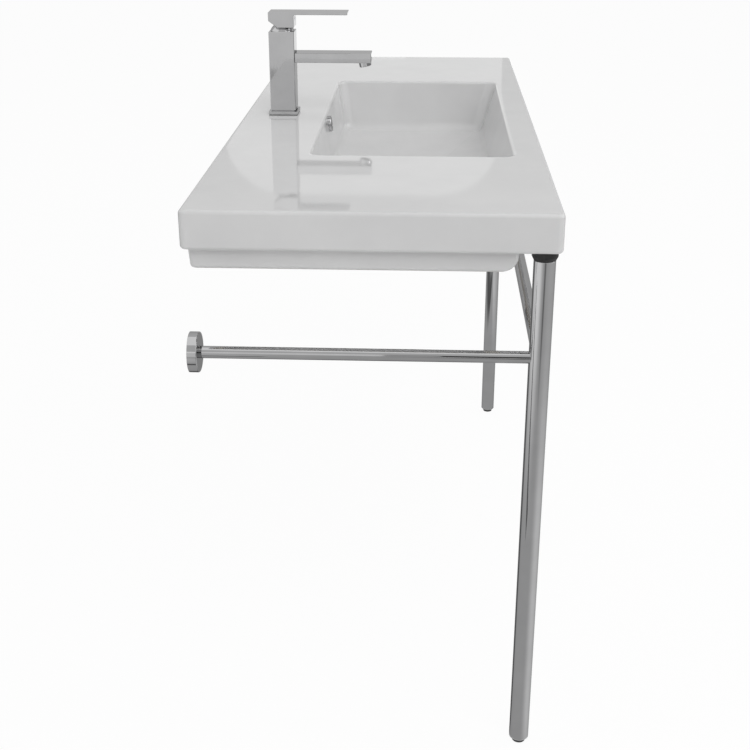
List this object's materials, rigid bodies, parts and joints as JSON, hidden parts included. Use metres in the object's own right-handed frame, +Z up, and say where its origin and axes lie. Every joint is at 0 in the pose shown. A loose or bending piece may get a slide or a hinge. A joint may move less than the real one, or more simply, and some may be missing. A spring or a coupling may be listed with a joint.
{
  "type": "bathroom sink",
  "caption": "Long slab ceramic console sink with a rectangular bowl, square lever tap, press waste and a chromed leg stand tied back to the wall.",
  "frame": {"origin": "midway between the two wall fixing holes, on the wall plane at the back of the basin", "axes": "+X along the basin to the user's right, +Y into the wall, +Z up; the user stands on the -Y side"},
  "size_m": [1.22, 0.47, 0.963],
  "materials": {
    "ceramic": "white vitreous glaze",
    "chrome": "polished chrome on brass",
    "tap_chrome": "polished chrome on cast brass",
    "stand_chrome": "polished chrome on steel tube",
    "brass": "plain turned brass",
    "steel": "zinc plated steel",
    "rubber": "black sealing rubber",
    "pad_rubber": "matt black moulded rubber",
    "inner_plastic": "natural moulded plastic",
    "index_plastic": "two-colour index button"
  },
  "bodies": {
    "sink": {"basin": "ceramic", "overflow_ring": "chrome", "waste_body": "chrome", "waste_upper_seal": "rubber", "waste_lower_seal": "rubber", "waste_nut": "brass", "tailpiece": "chrome", "coupling_nut": "chrome", "click_holder": "inner_plastic", "tap_base_seal": "rubber", "tap_base_plate": "tap_chrome", "tap_column": "tap_chrome", "spout": "tap_chrome", "aerator_housing": "tap_chrome", "aerator_insert": "inner_plastic", "cartridge_body": "inner_plastic", "cartridge_seals": "rubber", "cartridge_nut": "brass", "tap_dome": "tap_chrome", "clamp_gasket": "rubber", "clamp_plate": "steel", "clamp_nut": "brass", "clamp_stud": "steel", "front_rail": "stand_chrome", "rail_plugs": "steel", "rail_studs": "steel", "leg_inserts": "steel", "rosette_grub_screws": "steel", "leg_left": "stand_chrome", "leg_top_plug_left": "inner_plastic", "leg_pad_left": "pad_rubber", "leg_end_plug_left": "stand_chrome", "side_rail_left": "stand_chrome", "wall_plate_left": "steel", "rosette_left": "stand_chrome", "leg_right": "stand_chrome", "leg_top_plug_right": "inner_plastic", "leg_pad_right": "pad_rubber", "leg_end_plug_right": "stand_chrome", "side_rail_right": "stand_chrome", "wall_plate_right": "steel", "rosette_right": "stand_chrome"},
    "lever_turner": {"cartridge_rotor": "inner_plastic", "spindle_pin": "steel"},
    "lever": {"lever_handle": "tap_chrome", "lever_spindle": "brass", "lever_grub_screw": "steel", "index_plug": "index_plastic"},
    "plug": {"plug_cap": "chrome", "plug_seal": "rubber", "plug_stem": "brass"},
    "left_foot": {"leg_foot_left": "pad_rubber"},
    "right_foot": {"leg_foot_right": "pad_rubber"}
  },
  "joints": [
    {"name": "lever_turn", "type": "hinge", "parent": "sink", "child": "lever_turner", "pos_m": [0, -0.064, 0.1569], "axis": [0, 0, 1], "range_deg": [-45, 45]},
    {"name": "lever_lift", "type": "hinge", "parent": "lever_turner", "child": "lever", "pos_m": [0, -0.064, 0.1569], "axis": [-1, 0, 0], "range_deg": [0, 25]},
    {"name": "plug_press", "type": "slide", "parent": "sink", "child": "plug", "axis": [0, 0, 1], "range_m": [-0.009, 0]},
    {"name": "left_foot_screw", "type": "slide", "parent": "sink", "child": "left_foot", "axis": [0, 0, 1], "range_m": [-0.01, 0]},
    {"name": "right_foot_screw", "type": "slide", "parent": "sink", "child": "right_foot", "axis": [0, 0, 1], "range_m": [-0.01, 0]}
  ]
}
